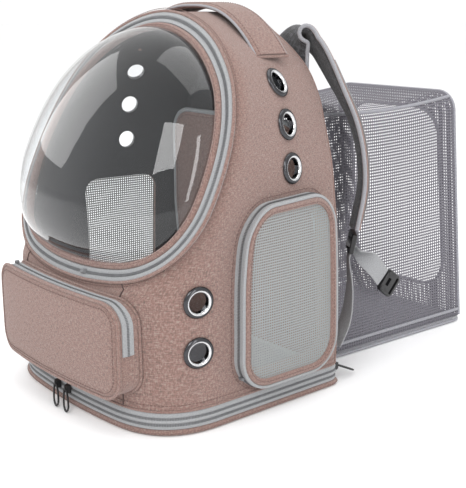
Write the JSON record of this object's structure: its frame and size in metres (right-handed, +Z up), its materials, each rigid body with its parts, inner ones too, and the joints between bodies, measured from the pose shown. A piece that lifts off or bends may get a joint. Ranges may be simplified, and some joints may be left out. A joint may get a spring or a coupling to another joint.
{
  "type": "pet carrier backpack",
  "caption": "Pet carrier backpack in rose cloth with a clear bubble window, mesh side windows, eyelets and a grey mesh tent folded out of its back.",
  "frame": {"origin": "middle of the underside of the bag's base", "axes": "+Z up, -Y towards the bubble window, +Y towards the tent, +X to the bag's right as seen from behind the tent"},
  "size_m": [0.3726, 0.6201, 0.453],
  "materials": {
    "rose_cloth": "heather canvas",
    "zip_tape": "woven tape",
    "grey_cloth": "plain weave",
    "netting": "open net",
    "black_plastic": "satin",
    "eyelet_nickel": "dark nickel",
    "clear_acrylic": "clear"
  },
  "bodies": {
    "root": {"back_panel": "rose_cloth", "front_panel": "rose_cloth", "crown_panel": "rose_cloth", "gusset_right": "rose_cloth", "gusset_left": "rose_cloth", "base_board": "rose_cloth", "bubble_frame": "rose_cloth", "side_rim_right": "rose_cloth", "side_rim_left": "rose_cloth", "front_pocket": "rose_cloth", "top_handle": "rose_cloth", "shoulder_strap_right": "rose_cloth", "shoulder_strap_left": "rose_cloth", "door_flap": "rose_cloth", "base_zipper": "zip_tape", "bubble_zipper": "zip_tape", "side_zipper_right": "zip_tape", "side_zipper_left": "zip_tape", "front_pocket_zipper": "zip_tape", "lower_webbing_right": "zip_tape", "lower_webbing_left": "zip_tape", "belt_webbing_right": "zip_tape", "belt_webbing_left": "zip_tape", "door_binding": "zip_tape", "floor_pad": "grey_cloth", "tent_hoop": "grey_cloth", "tent_floor": "grey_cloth", "side_net_right": "netting", "side_net_left": "netting", "tent_side_right": "netting", "tent_side_left": "netting", "tent_top": "netting", "tent_end": "netting", "strap_buckle_right": "black_plastic", "strap_buckle_left": "black_plastic", "corner_tab_right": "black_plastic", "corner_tab_left": "black_plastic", "belt_clip_right": "black_plastic", "belt_clip_left": "black_plastic", "base_pull_1": "black_plastic", "base_pull_2": "black_plastic", "rear_pull": "black_plastic", "eyelet_right_1": "eyelet_nickel", "eyelet_right_2": "eyelet_nickel", "eyelet_right_3": "eyelet_nickel", "eyelet_right_4": "eyelet_nickel", "eyelet_right_5": "eyelet_nickel", "eyelet_left_1": "eyelet_nickel", "eyelet_left_2": "eyelet_nickel", "eyelet_left_3": "eyelet_nickel", "eyelet_left_4": "eyelet_nickel", "eyelet_left_5": "eyelet_nickel", "bubble_dome": "clear_acrylic"}
  },
  "joints": []
}
